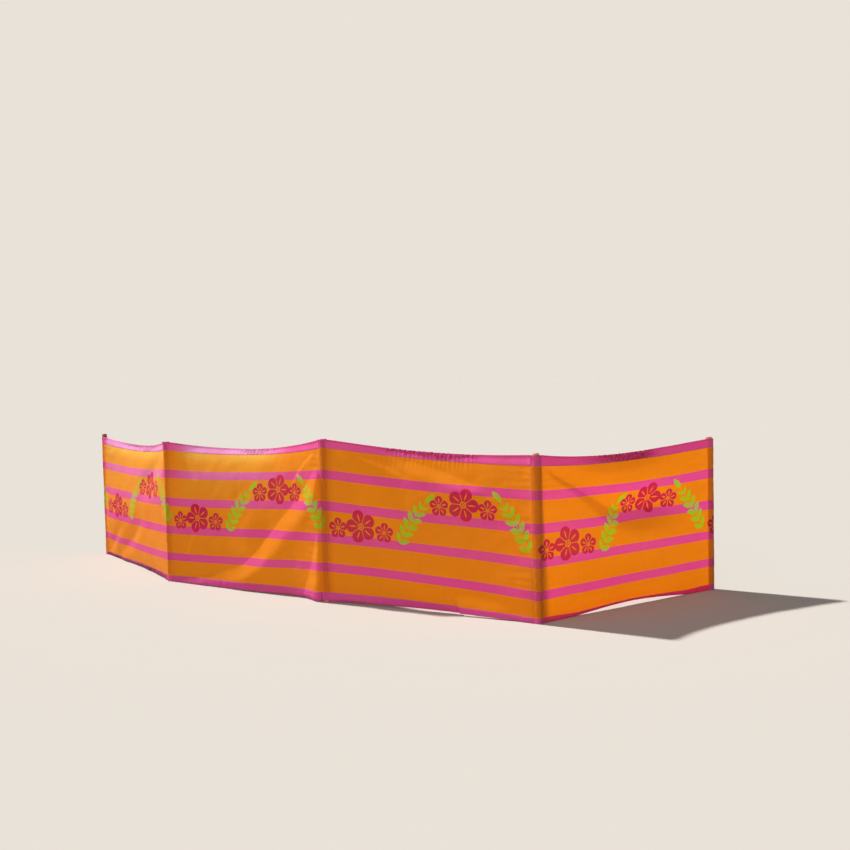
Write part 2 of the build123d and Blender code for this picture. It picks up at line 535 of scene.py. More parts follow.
def new_material(name):
    """A material with nodes, and the Principled shader in it."""
    material = bpy.data.materials.new(name)
    material.use_nodes = True
    return material, material.node_tree.nodes["Principled BSDF"]


# %% [markdown]
# An effect that several materials share is a node group. A function says what the group does with its
# inputs, and the line above it, with the @, makes the group once. From then on a call of that name
# adds the group to a tree and gives back what it puts out, by name.

# %% A function as a node group
def shader_group(name, **inputs):
    """Makes a node group of a function of values that returns its outputs by name."""

    def build(pattern):
        group = bpy.data.node_groups.new(name, "ShaderNodeTree")

        def add_socket(label, way):
            return group.interface.new_socket(label, in_out=way, socket_type="NodeSocketFloat")

        for label, value in inputs.items():
            add_socket(label, "INPUT").default_value = value
        entry = group.nodes.new("NodeGroupInput")
        results = pattern(**{label: Value(entry.outputs[label]) for label in inputs})
        for label in results:
            add_socket(label, "OUTPUT")
        feed(group.nodes.new("NodeGroupOutput"), results)
        print("group", name, "with", len(group.nodes), "nodes")

        def use(**values):
            node = made_of("Group", values, node_tree=group).socket.node
            return {label: Value(node.outputs[label]) for label in results}

        return use

    return build


# %% [markdown]
# ## Canvas weave
#
# In a plain weave each thread goes over one and under the next. The height is the round back of
# whichever thread is on top, and a product of two sines says which that is. Threads are also a little
# thicker and thinner, so noise stretched along them gives faint streaks.

# %% Shader group: canvas weave
@shader_group("canvas weave", along=0.0, depth=0.0, pitch=0.001)
def weave(along, depth, pitch):
    across, down = reckon("SINE", along / pitch * pi), reckon("SINE", depth / pitch * pi)
    on_top = clamped(across * down * 1.4 + 0.5)
    upright_streak = noise(place(along * 330.0, depth * 7.0), 1.0)
    level_streak = noise(place(along * 5.0, depth * 420.0), 1.0)
    return {
        "height": abs(across) * on_top + abs(down) * (1.0 - on_top),
        "streak": (upright_streak + level_streak) * 0.5,
    }


# %% [markdown]
# ## Printed pattern
#
# The print is drawn by sums too, so its edges stay sharp however near one looks. Stripes are the
# remainder of the depth by the repeat. A leaf is two arcs, and a flower is five round petals in a
# turning angle. Each drawing is a group that says 1 inside its ink and 0 outside.

# %% Ink edges
INK_EDGE = 0.0007


def ink(inside):
    """1 where inside, a distance in metres, is above zero, with the soft edge that ink has on cloth."""
    return clamped(inside * (1 / INK_EDGE) + 0.5)


def leaf_ink(along, across, length, fullness, rib=0.0009):
    """Ink of one pointed leaf from along = 0 to its length, with a bare rib down its middle."""
    share = along / length
    arc = share * (1.0 - share)
    aside = abs(across)
    half = arc * (length * (4 * fullness))
    return ink(reckon("MINIMUM", half - aside, aside - arc * 4.0 * rib))


# %% Shader group: leaf sprig
OPEN = radians(40)
STEM = 0.0016


@shader_group("leaf sprig", across=0.0, down=0.0, lean=1.0, length=0.22, leaf=0.062, spacing=0.042, bend=0.5)
def sprig(across, down, lean, length, leaf, spacing, bend):
    lean_cos, lean_sin = reckon("COSINE", lean), reckon("SINE", lean)
    up_stem = across * lean_cos + down * lean_sin
    beside = down * lean_cos - across * lean_sin - up_stem * up_stem * bend
    side = abs(beside)
    stem_run = length * 0.5 + up_stem
    pair = reckon("FLOOR", stem_run / spacing)
    in_pair = stem_run - pair * spacing
    pair_share = (pair + 0.5) * spacing / length
    taper = abs(pair_share - 0.4) ** 2.0 * -1.5 + 1.0
    leaf_length = leaf * reckon("MAXIMUM", taper, 0.3)
    leaf_along = in_pair * cos(OPEN) + side * sin(OPEN)
    leaf_across = side * cos(OPEN) - in_pair * sin(OPEN)
    on_stem = ink(stem_run) * ink(length - stem_run)
    leaves = leaf_ink(leaf_along, leaf_across, leaf_length, 0.19) * on_stem
    tip = leaf_ink(stem_run - length, beside, leaf, 0.2)
    return {"ink": reckon("MAXIMUM", reckon("MAXIMUM", leaves, ink(STEM - side) * on_stem), tip)}


# %% Shader group: petal flower
PETALS = 5
PETAL_GAP = 0.0020


@shader_group("petal flower", across=0.0, down=0.0, radius=0.078, turn=0.0)
def flower(across, down, radius, turn):
    out = reckon("SQRT", across * across + down * down)
    turned = reckon("ARCTAN2", down, across) + turn
    angle = abs(reckon("FRACT", turned * (PETALS / (2 * pi))) - 0.5) * (2 * pi / PETALS)
    round_end = reckon("COSINE", angle * (PETALS / 2)) ** 0.55
    outline = radius * (round_end * 0.42 + 0.58) - out
    between = out * reckon("SINE", pi / PETALS - angle) - PETAL_GAP
    share = out / radius
    slit_width = (share - 0.28) * (0.82 - share) * 0.055
    slit = out * reckon("SINE", angle) - reckon("MAXIMUM", slit_width, 0.0)
    eye_ring = (abs(share - 0.17) - 0.035) * radius
    petals = reckon("MINIMUM", reckon("MINIMUM", outline, between), eye_ring)
    return {"ink": ink(petals) * ink(slit + reckon("LESS_THAN", slit_width, 0.0))}


# %% [markdown]
# Near the top of the first two bays a paler colour is painted in as a highlight. Two ramps,
# one along the cloth and one down it, multiplied and broken up by noise, say how much.

# %% Shader group: painted highlight
@shader_group("painted highlight", along=0.0, depth=0.0)
def painted_highlight(along, depth):
    first_bays = ramp(along, 0.02, 0.10) * ramp(along, 2.22, 1.90)
    off_pole = reckon("MAXIMUM", ramp(along, 1.22, 1.14), ramp(along, 1.27, 1.50))
    from_top = ramp(depth, 0.13, 0.06, 0.34, 1.0) * ramp(depth, 0.50, 0.10)
    broken = noise(place(along, depth), 4.0, detail=3.0) + 0.5
    return {"painted_highlight": clamped(from_top * (first_bays * off_pole * broken) * 0.72)}


# %% [markdown]
# The two drawings repeat along the cloth in half drops: each next one is lower, or leans the other way.
# The remainder of the distance along gives the place within a repeat, and whether the repeat is an odd
# one gives its row. One flower drawing, with its distance mirrored, serves for the small ones as well.

# %% Shader group: windbreak print
STRIPE_REPEAT, STRIPE_WIDTH, STRIPE_START = 0.17, 0.05, 0.06
REPEAT = 0.61


def in_half_drop(along, depth, start, first_row, second_row):
    """(across, down, odd) within a repeat of the print that begins at start."""
    step = (along - start) / REPEAT
    number = reckon("FLOOR", step)
    odd = reckon("FLOORED_MODULO", number, 2.0)
    return (step - number - 0.5) * REPEAT, depth - (odd * (second_row - first_row) + first_row), odd


@shader_group("windbreak print", along=0.0, depth=0.0)
def windbreak_print(along, depth):
    uneven_depth = (noise(place(along, depth), 9.0) - 0.5) * 0.003 + depth
    in_repeat = reckon("FRACT", (uneven_depth + STRIPE_START) / STRIPE_REPEAT) * STRIPE_REPEAT
    in_stripe = STRIPE_WIDTH / 2 - abs(in_repeat - (STRIPE_START + STRIPE_WIDTH / 2))
    at_edge = reckon("MAXIMUM", 0.02 - uneven_depth, uneven_depth - 0.88)
    across, down, odd = in_half_drop(along, depth, -0.02, 0.455, 0.275)
    large = flower(across=across, down=down, radius=0.090, turn=odd * 0.6)["ink"]
    small = flower(across=abs(across) - 0.140, down=down - 0.020, radius=0.056, turn=0.9)["ink"]
    across, down, odd = in_half_drop(along, depth, 0.285, 0.40, 0.36)
    swung = across * (odd * -2.0 + 1.0)
    leaves = sprig(across=swung, down=down, lean=-1.0, length=0.28, leaf=0.080, spacing=0.047)["ink"]
    return {
        "pink": ink(reckon("MAXIMUM", in_stripe, at_edge)),
        "lime": leaves,
        "crimson": reckon("MAXIMUM", large, small),
    }


# %% [markdown]
# ## Cloth material
#
# Thin dyed cloth both reflects light and lets it through, so a Principled and a Translucent shader are
# mixed. Where a pole or a second layer stands behind the cloth, less light comes through and the place
# darkens by itself, and a painted shade, a darker tint set by a number on each point, darkens it more.
# Light that has come through has met more dye, so its colour is deeper, by a gamma a little above one.
# The hems use the same recipe with painted shade tints of their own, for the hollows of a gather and the foot
# hems.

# %% Colours of the print
# The second orange and the last pink are the paler colours of the painted highlight.
ORANGE, HIGHLIGHT_ORANGE = (0.92, 0.275, 0.003, 1), (0.97, 0.58, 0.08, 1)
PINK, HEM_PINK, HIGHLIGHT_PINK = (0.84, 0.086, 0.330, 1), (0.90, 0.120, 0.45, 1), (1.0, 0.56, 0.98, 1)
LIME = (0.360, 0.640, 0.012, 1)
CRIMSON = (0.640, 0.008, 0.075, 1)
FADED = (0.95, 0.36, 0.05, 1)


def cloth_colour(along, depth, threads):
    """The dyed and printed colour, with a painted highlight, faded and worn places and streaks of thread."""
    where = place(along, depth)
    inks = windbreak_print(along=along, depth=depth)
    pink = mix(ramp(abs(depth - 0.45), 0.385, 0.405), PINK, HEM_PINK)
    plain_colour = mix(inks["pink"], ORANGE, pink)
    # Painted highlight: paler orange and pink near the top of the first two bays.
    pale = mix(inks["pink"], HIGHLIGHT_ORANGE, HIGHLIGHT_PINK)
    colour = mix(painted_highlight(along=along, depth=depth)["painted_highlight"], plain_colour, pale)
    worn = noise(where, 260.0, detail=3.0)
    colour = mix(inks["lime"] * clamped(worn * 0.30 + 0.76), colour, LIME)
    colour = mix(inks["crimson"] * clamped(worn * 0.15 + 0.90), colour, CRIMSON)
    shade = threads["streak"] * 0.24 + 0.88
    colour = mix(1.0, colour, place(shade, shade, shade), "MULTIPLY")
    return mix(clamped(noise(where, 3.2, detail=3.0) * 0.24 - 0.08), colour, FADED)


# %% The material
THROUGH = 0.37


def cloth_places(tree):
    """(along, depth) of a place on the cloth, from its UV map."""
    return split(source(tree, "UVMap", uv_map="cloth"))[:2]


def cloth_material(name, painted_shade, blotchy=False):
    """Printed canvas, darkened towards the given tint of painted shade as much as each point's number says.
    """
    material, shader = new_material(name)
    tree = material.node_tree
    along, depth = cloth_places(tree)
    threads = weave(along=along, depth=depth, pitch=0.0011)
    colour = cloth_colour(along, depth, threads)
    # Painted shade: each point's number mixes the colour towards the colour times the darker tint.
    shade_amount = source(tree, "Attribute", "Fac", attribute_name="painted_shade")
    if blotchy:
        blotch = noise(place(depth * 0.8 + along, depth * 0.55), 105.0, detail=2.5, roughness=0.6)
        shade_amount = clamped(shade_amount * ramp(blotch, 0.36, 0.62, 0.45, 1.20))
    colour = mix(shade_amount, colour, mix(1.0, colour, (*painted_shade, 1), "MULTIPLY"))
    crumple = noise(place(along, depth), 38.0, detail=4.0)
    normal = bumped(threads["height"] * 0.00012 + crumple * 0.0012, 1.0)
    feed(shader, {
        "Base Color": colour,
        "Roughness": threads["height"] * -0.12 + 0.86,
        "Sheen Weight": 0.04,
        "Sheen Roughness": 0.5,
        "Specular IOR Level": 0.18,
        "Normal": normal,
    })
    deeper = made_of("Gamma", {"Color": colour, "Gamma": 1.2})
    through = made_of("BsdfTranslucent", {"Color": deeper, "Normal": normal})
    both = made_of("MixShader", {0: THROUGH, 1: Value(shader.outputs[0]), 2: through})
    feed(tree.nodes["Material Output"], {"Surface": both})
    return material


# Tints of the painted shade on the foot hems, one for each bay, darkest in the first bay and a deeper red in
# the last.
FOOT_SHADE_TINTS = ((0.36, 0.06, 0.16), (0.62, 0.30, 0.42), (0.75, 0.55, 0.60), (1.0, 0.42, 0.32))

# The hem's crimson tint is painted shade for its pucker hollows and the band by its fold.
shaded_hem_canvas = cloth_material("hem canvas", (0.52, 0.12, 0.15), blotchy=True)
shaded_foot_canvases = [cloth_material(f"foot hem canvas {bay + 1}", tint) for bay, tint in enumerate(FOOT_SHADE_TINTS)]
canvas = cloth_material("printed canvas", (0.60, 0.36, 0.30))
print("cloth materials:", canvas.name, shaded_hem_canvas.name, len(shaded_foot_canvases))

# %% [markdown]
# ## The cloth of each bay
#
# A bay's cloth is a single layer, stretched between two sleeves. It is tight and its folds are known,
# so a grid that asks for its place on the cloth gives them exactly. Its edges run a little way into
# the hems and the sleeves, as the real cloth does.

# %% Painted shade where a pole stands behind the cloth
POLE_SHADE_BANDS = (  # from, full, falling, to, strength
    ((-0.045, -0.040, 0.002, 0.009, 0.65),),
    ((-0.004, 0.004, 0.006, 0.080, 0.16),),
    ((-0.016, -0.010, 0.004, 0.070, 0.40),),
    ((-0.034, -0.004, 0.012, 0.056, 0.26),),
    ((-0.026, -0.014, 0.040, 0.050, 0.12), (0.002, 0.016, 0.040, 0.050, 0.42)),
)
TIP_SHADES = (0.0, 0.35, 0.15, 0.05, 0.0)


def painted_pole_shade(pole, from_pole, depth):
    """Painted shade at distances along the cloth from a pole: 0, or more over the pole and by its hidden tip.
    """
    shade = [
        strength * eased(start, full, from_pole) * (1 - eased(falling, end, from_pole))
        for start, full, falling, end, strength in POLE_SHADE_BANDS[pole]
    ]
    beside = eased(-0.014, -0.008, from_pole) * (1 - eased(0.018, 0.034, from_pole))
    return np.max(shade, axis=0) + TIP_SHADES[pole] * beside * (1 - eased(0.044, 0.052, depth))


# %% Four bay cloths
GRID = 0.005
TUCK = 0.003


def along_bay(tuck, count):
    """Distances along a bay from seam to seam, and so far into both seams."""
    return np.linspace(SLEEVE_SEAM - tuck, BAY_LENGTH - SLEEVE_SEAM + tuck, count)


panels = []
for bay in range(4):
    depth = np.linspace(0.046, 0.854, round(0.81 / GRID))[:, None]
    x, depth = np.broadcast_arrays(along_bay(TUCK, round(1.2 / GRID)), depth)
    z = height_of(bay, x, depth)
    points = in_world(bay, x, cloth_back(bay, x, z, depth), z)
    places = np.stack([bay * BAY_LENGTH + x, depth], -1)
    piece = add_piece(f"bay_cloth_{bay + 1}", points, grid_faces(*x.shape), canvas, places)
    # Painted shade over the poles at both ends of the bay.
    add_painted_shade(piece, painted_pole_shade(bay, x, depth) + painted_pole_shade(bay + 1, x - BAY_LENGTH, depth))
    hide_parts(f"panel_{bay + 1}")
    panels.append(piece)

# %% [markdown]
# ## Gathered top hems
#
# The top edge is folded over and sewn down, and the sewing draws it up in the middle of each bay, so
# that it puckers. The hem is a closed band: up the front, round the fold, down the back. Its puckers
# are short waves, strongest at the fold and gone at the stitches, and they lean and vary a little.

# %% The skin of a top hem
HEM = 0.05
# Painted shade on the top hems: how near the fold the darker hollows begin, where along the bay they reach
# furthest down, how dark they are, and how dark the band by the fold is.
HOLLOW_SHADE_REACHES = (0.30, 0.45, 0.40, 0.0)
HOLLOW_SHADE_LOWEST = (0.80, 0.66, 0.70, 0.68)
HOLLOW_SHADES = (0.55, 0.55, 0.80, 1.0)
EDGE_SHADES = (0.75, 0.55, 0.45, 0.35)


def pucker_wave(bay, x, depth):
    """The puckers of a top hem, from -1 in a hollow to 1 on a crest."""
    uneven_x = x + 0.0070 * np.sin(x * 51 + bay) + 0.0036 * np.sin(x * 137 + 2 * bay)
    lean = 0.9 * depth / HEM
    main = np.sin(2 * pi * (uneven_x / 0.0210 + lean))
    other = np.sin(2 * pi * (uneven_x / 0.0370 - lean) + 1.3)
    return 0.6 * main + 0.4 * other


def top_hem_skin(bay, x, share, side):
    """A place on the hem and its painted shade: share 0 at the stitches and 1 at the fold, side -1 in front
    and 1 behind.
    """
    depth = HEM * (1 - share)
    strength = gathered(bay, x)
    wave = pucker_wave(bay, x, depth)
    fold = strength * eased(0.15, 1.0, share)
    z = height_of(bay, x, depth) - 0.0012 * fold * (1 - wave)
    back = cloth_back(bay, x, z, depth) + 0.0024 * fold * wave - 0.0025 * eased(0.62, 1.0, share)
    thick = 0.0007 + 0.0009 * eased(0.0, 0.3, share) + 0.0007 * eased(0.75, 1.0, share)
    # Painted shade: darker in the pucker hollows, over the upper part of the hem, and in a band by the fold.
    reach = HOLLOW_SHADE_REACHES[bay] + 0.12 * np.sin(x * 37 + bay) * np.sin(x * 23)
    reach = reach - 0.60 * np.exp(-(((x - HOLLOW_SHADE_LOWEST[bay]) / 0.11) ** 2))
    hollow_shade = HOLLOW_SHADES[bay] * (0.80 - 0.20 * wave * side) * strength * eased(reach, reach + 0.40, share)
    edge_shade = EDGE_SHADES[bay] * eased(0.72, 0.97, share)
    if bay == 0:
        edge_shade = edge_shade * eased(0.12, 0.50, x)
    return back + side * thick, z, depth, np.maximum(hollow_shade, edge_shade)


# %% A closed band along a bay
def round_section(rows, tip_rows):
    """(row, turn) round a hem: along its rows in front, round its tip and back along them behind."""
    tip = np.linspace(0, pi, tip_rows + 2)[1:-1]
    row = np.concatenate([np.arange(rows), np.full(tip_rows, rows - 1), np.arange(rows)[::-1]])
    return row, np.concatenate([np.zeros(rows), tip, np.full(rows, pi)])[:, None]


def facing_out(piece):
    """Turns the faces of a closed piece outwards."""
    work = bmesh.new()
    work.from_mesh(piece.data)
    bmesh.ops.recalc_face_normals(work, faces=work.faces)
    work.to_mesh(piece.data)
    work.free()


def add_hem(name, bay, x, back, z, depth, dark, material):
    """A hem from rows round its section, with a cap at each end so that nothing is open."""
    rows, columns = x.shape
    first = (np.arange(rows) * columns).tolist()
    last = (np.arange(rows) * columns + columns - 1).tolist()
    faces = [*grid_faces(rows, columns, round_rows=True), first, last[::-1]]
    places = np.stack([bay * BAY_LENGTH + x, depth], -1)
    piece = add_piece(name, in_world(bay, x, back, z), faces, material, places)
    add_painted_shade(piece, dark)
    facing_out(piece)
    return piece


# %% Four top hems
HEM_TUCK = 0.002
FOLD_RISE = 0.0018

row, turn = round_section(9, 5)
share = 1 - (1 - np.linspace(0, 1, 9)[row, None]) ** 1.4
top_hems = []
for bay in range(4):
    x, share, side = np.broadcast_arrays(along_bay(HEM_TUCK, 620), share, -np.cos(turn))
    back, z, depth, dark = top_hem_skin(bay, x, share, side)
    z = z + FOLD_RISE * np.sin(turn)
    piece = add_hem(f"gathered_hem_{bay + 1}", bay, x, back, z, depth, dark, shaded_hem_canvas)
    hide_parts(f"top_hem_{bay + 1}")
    top_hems.append(piece)

# %% [markdown]
# ## Curled foot hems
#
# The lower edge is hemmed too. Where the cloth reaches the ground the band curls under itself. Its
# cross section is walked in small steps: straight down, then round a small bend and back up behind.
# The straight way is as long as it takes for the lowest point to come out at the cloth's foot.

# %% The curl of a foot hem
CURL_ARC = 0.013
CURL_TURN = radians(158)
HEM_ROWS = 24


def curled_section(drop):
    """(back, down) along the hem's middle for each wanted drop, with the angle that it faces."""
    run = np.linspace(0, HEM, HEM_ROWS)[:, None]
    step = np.diff(run, axis=0)
    turn = CURL_TURN * eased(0.0, 0.012, HEM - drop)
    straight = drop - 0.004
    for _ in range(8):
        angle = turn * eased(0, 1, (run - straight) / CURL_ARC)
        middle = (angle[1:] + angle[:-1]) / 2
        zero = np.zeros((1, angle.shape[1]))
        down = np.concatenate([zero, np.cumsum(np.cos(middle) * step, axis=0)])
        back = np.concatenate([zero, np.cumsum(np.sin(middle) * step, axis=0)])
        straight = straight + drop - down.max(axis=0)
    return back, down, angle


def foot_hem_grid(bay, x):
    """(back, height, facing, depth, half thickness) of a foot hem's middle line at distances x."""
    heights = line_heights(bay, x)
    back, down, angle = curled_section(heights[7] - heights[8])
    depth = np.linspace(0.85, 0.90, HEM_ROWS)[:, None] + 0 * x
    wave = 0.0006 * np.sin(2 * pi * (x + 0.02 * np.sin(x * 11 + bay)) / 0.071)
    z = heights[7] - down
    back = cloth_back(bay, x + 0 * z, z, depth) + back + wave * eased(0.85, 0.87, depth)
    thick = 0.0007 + 0.0008 * eased(0.85, 0.862, depth) + 0.0006 * eased(0.89, 0.90, depth)
    return back, z, angle, depth, thick


# %% Four foot hems
# How much painted shade each foot hem gets, most in the first bay, where the hem curls under.
FOOT_SHADES = (0.95, 0.45, 0.40, 0.80)
LOWEST = 0.0006

run = along_bay(HEM_TUCK, 320)
row, turn = round_section(HEM_ROWS, 4)
foot_hems = []
for bay in range(4):
    back, z, angle, depth, thick = (grid[row] for grid in foot_hem_grid(bay, run))
    x = np.broadcast_to(run, z.shape)
    back = back - thick * np.cos(angle + turn)
    z = np.maximum(z - thick * np.sin(angle + turn), LOWEST)
    dark = FOOT_SHADES[bay] * (0.85 + 0.15 * np.sin(x * 9 + bay))
    piece = add_hem(f"curled_hem_{bay + 1}", bay, x, back, z, depth, dark, shaded_foot_canvases[bay])
    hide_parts(f"foot_hem_{bay + 1}")
    foot_hems.append(piece)

# %% [markdown]
# ## Sleeves round the poles
#
# At each pole the cloth passes in front, a strip of it passes behind, and a seam on each side closes the
# sleeve. From above that is the tightest string round the pole and the seams: their convex outline.
# The top edge is turned in. Over each pole, on top of the darker band that the light through the cloth gives,
# a band of shade is painted in.

# %% The outline of a sleeve
SLEEVE_RADIUS = POLE_RADIUS + 0.0014
SIDE_POINTS = 27


def bays_beside(pole):
    """(bay, where the pole stands along it, direction away from the pole) for one bay or two."""
    sides = ((pole - 1, BAY_LENGTH, -1), (pole, 0.0, 1))
    return [side for side in sides if 0 <= side[0] < 4]


def spread(line, count):
    """count points at even distances along an open line."""
    run = np.concatenate([[0], np.cumsum(np.linalg.norm(np.diff(line, axis=0), axis=1))])
    at = np.linspace(0, run[-1], count)
    return np.stack([np.interp(at, run, line[:, k]) for k in range(2)], 1)


def sleeve_loop(pole):
    """(places round the pole in plan, distance along the cloth of each) for a closed loop."""
    turn = np.linspace(0, 2 * pi, 240, endpoint=False)
    ring = SLEEVE_RADIUS * np.stack([np.cos(turn), np.sin(turn)], 1)
    seams, runs = [], []
    for bay, end, way in bays_beside(pole):
        x = end + way * SLEEVE_SEAM
        seams.append(in_world(bay, x, arc_back(x), 0.0)[:2] - pole_feet[pole])
        runs.append(bay * BAY_LENGTH + x)
    points = np.vstack([ring, *seams])
    loop = points[convex_hull_2d(points.tolist())]
    first, *second = (int(np.argmin(np.linalg.norm(loop - seam, axis=1))) for seam in seams)
    loop = np.vstack([np.roll(loop, -first, axis=0), loop[first]])
    if not second:
        line = spread(loop, 2 * SIDE_POINTS - 1)[:-1]
        return line, pole * BAY_LENGTH + line @ bay_axes(min(pole, 3))[1]
    turn_back = (second[0] - first) % (len(loop) - 1)
    sides = spread(loop[: turn_back + 1], SIDE_POINTS)[:-1], spread(loop[turn_back:], SIDE_POINTS)[:-1]
    there = np.linspace(*runs, SIDE_POINTS)
    return np.vstack(sides), np.concatenate([there[:-1], there[:0:-1]])


# %% Heights on a sleeve
def sleeve_height(pole, loop, depth):
    """Height of a mark on a sleeve: the bays on either side say how it falls away from the pole."""
    furthest, height = np.full(len(loop), -1.0), 0.0
    for bay, end, way in bays_beside(pole):
        reach = np.maximum(loop @ (way * bay_axes(bay)[1]), 0)
        height = np.where(reach > furthest, height_of(bay, end + way * reach, depth), height)
        furthest = np.maximum(furthest, reach)
    return height


# %% Five sleeves
TURNED_IN = (0.016, 0.011, 0.006, 0.002)
DOWN_ROWS = 150

plain = np.zeros(DOWN_ROWS)
down = np.concatenate([TURNED_IN, [0.0], np.linspace(0.0015, 0.90, DOWN_ROWS)])[:, None]
inset = np.concatenate([np.full(4, 0.0009), [0.0005], plain])[:, None]
lip = np.concatenate([np.zeros(4), [0.0006], plain])[:, None]
sleeves = []
for pole in range(5):
    loop, along = sleeve_loop(pole)
    z = sleeve_height(pole, loop, down) + lip
    far_out = np.linalg.norm(loop, axis=1)[None, :]
    angle = np.arctan2(loop[:, 1], loop[:, 0])[None, :]
    loose = np.clip((0.0245 - far_out) / 0.007, 0, 1)
    slack = 0.00055 * (1 + np.sin(z * 21 + 2 * angle + pole)) + 0.00035 * (1 + np.sin(z * 97 - 3 * angle))
    if pole == 4:
        slack = slack + 0.008 * eased(0.3, 1.0, np.cos(angle - radians(BAY_HEADINGS[3])))
    scale = 1 + (loose * slack - inset) / far_out
    plan = loop * scale[:, :, None] + pole_feet[pole]
    points = np.concatenate([plan, z[..., None]], -1)
    places = np.stack(np.broadcast_arrays(along, down), -1)
    faces = grid_faces(*z.shape, round_columns=True)
    piece = add_piece(f"pole_sleeve_{pole + 1}", points, faces, canvas, places)
    # Painted shade over the pole inside the sleeve.
    add_painted_shade(piece, painted_pole_shade(pole, along - pole * BAY_LENGTH + 0 * z, down))
    facing_out(piece)
    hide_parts(f"pocket_{pole + 1}")
    sleeves.append(piece)

# %% [markdown]
# ## Loose end of the hem tape
#
# A short folded end of the tape that binds the hem sticks out past the last sleeve. It is a thin
# doubled strip with a round fold at its tip, bent a little out of true, and its solid says how high.

# %% The tape end
def squared(wave, power):
    """A sine or cosine with its round tops made flatter."""
    return np.sign(wave) * np.abs(wave) ** power


low, high = (np.array(corner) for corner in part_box("tape_end"))
tape_middle = (low[2] + high[2]) / 2
turn = np.linspace(0, 2 * pi, 20, endpoint=False)
share = np.linspace(0.0, 1.0, 14)[:, None]
half_height = 0.0049 - 0.0009 * share**6
half_thick = (0.00055 + 0.0006 * share) * (1 - 0.85 * np.maximum(share - 0.86, 0) / 0.14)
back = half_thick * squared(np.sin(turn), 0.6) + 0.0016 * np.sin(share * 2.4)
z = tape_middle - 0.0015 * share + half_height * squared(np.cos(turn), 0.35)
points = in_world(3, BAY_LENGTH + 0.0165 + 0.0155 * share, back, z)
rows, columns = z.shape
caps = [list(range(columns)), list(range(rows * columns))[: -columns - 1 : -1]]
faces = grid_faces(rows, columns, round_columns=True) + caps
places = np.stack([5.0 + points[..., 0] - pole_feet[4][0], points[..., 2] - tape_middle], -1)
print("tape end from", low.round(3).tolist(), "to", high.round(3).tolist())

tape_material, shader = new_material("hem tape")
along, depth = cloth_places(tape_material.node_tree)
ribbing = weave(along=along, depth=depth, pitch=0.0008)
feed(shader, {
    "Base Color": mix(ribbing["streak"], (0.10, 0.008, 0.045, 1), (0.28, 0.02, 0.13, 1)),
    "Roughness": ribbing["height"] * -0.15 + 0.85,
    "Normal": bumped(ribbing["height"], 0.0002),
})
tape_piece = add_piece("tape_tab", points, faces, tape_material, places)
facing_out(tape_piece)
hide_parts("tape_end")

# %% [markdown]
# ## Thread
#
# Rows of stitches hold the hems and close the sleeves. A stitch dives into the cloth at both ends, so it
# is a small spindle that lies on the surface. As meshes, stitches keep their shape from near by.

# %% Rows of stitches
STITCH, STITCH_GAP, THREAD = 0.0032, 0.0047, 0.0011
SPINDLE = np.array((  # along the stitch, across it and up, as shares of its length and thickness
    (-0.5, 0, -0.25), (0.5, 0, -0.25), (-0.18, 0, 0.32), (0.18, 0, 0.32),
    (-0.18, 0.42, 0), (0.18, 0.42, 0), (-0.18, -0.42, 0), (0.18, -0.42, 0),
))
SPINDLE_FACES = (
    (2, 4, 5, 3), (6, 2, 3, 7), (4, 6, 7, 5),
    (0, 4, 2), (0, 2, 6), (0, 6, 4), (1, 3, 5), (1, 7, 3), (1, 5, 7),
)


def unit(vectors):
    """Vectors made one long."""
    return vectors / np.linalg.norm(vectors, axis=1)[:, None]


def row_from(places, outward):
    """(middles, directions, outward) of stitches along a seam, in the middle of every other step."""
    middle = places[1:-1:2]
    way = unit(places[2::2][: len(middle)] - places[0:-2:2][: len(middle)])
    outward = np.tile(outward, (len(middle), 1))
    return middle, way, unit(outward - (outward * way).sum(1)[:, None] * way)


def add_stitches(name, rows, material):
    """One piece with a spindle for each stitch of some rows."""
    points, faces = [], []
    for middle, way, outward in rows:
        axes = np.stack([STITCH * way, THREAD * np.cross(way, outward), THREAD * outward], 1)
        first = 8 * sum(map(len, points)) + 8 * np.arange(len(middle))[:, None]
        points.append(middle[:, None] + SPINDLE @ axes)
        for shape in SPINDLE_FACES:
            faces += (first + np.array(shape)).tolist()
    return add_piece(name, np.concatenate(points), faces, material, None)


def thread_material(name, colour):
    """Twisted thread: lighter and darker places along each stitch."""
    material, shader = new_material(name)
    twist = noise(source(material.node_tree, "TexCoord", "Object"), 1400.0, detail=1.0)
    pale = [min(1, part * 1.5 + 0.02) for part in colour]
    feed(shader, {
        "Base Color": mix(twist, (*colour, 1), (*pale, 1)),
        "Roughness": twist * 0.25 + 0.45,
        "Sheen Weight": 0.2,
        "Normal": bumped(twist, 0.0001),
    })
    return material


pink_thread = thread_material("pink thread", (0.86, 0.14, 0.46))
# The paler thread serves the top hems of the first two bays, to match their painted highlight.
highlight_thread = thread_material("highlight thread", (0.92, 0.38, 0.74))
orange_thread = thread_material("orange thread", (0.80, 0.24, 0.02))
print("threads:", pink_thread.name, highlight_thread.name, orange_thread.name)

# %% [markdown]
# Places along a seam, at even steps, give the middle of each stitch and, from one to the next, its
# direction. The rows are set on the front and the back, because both sides of a windbreak are seen.

# %% Stitches of the hems
PROUD = 0.0001

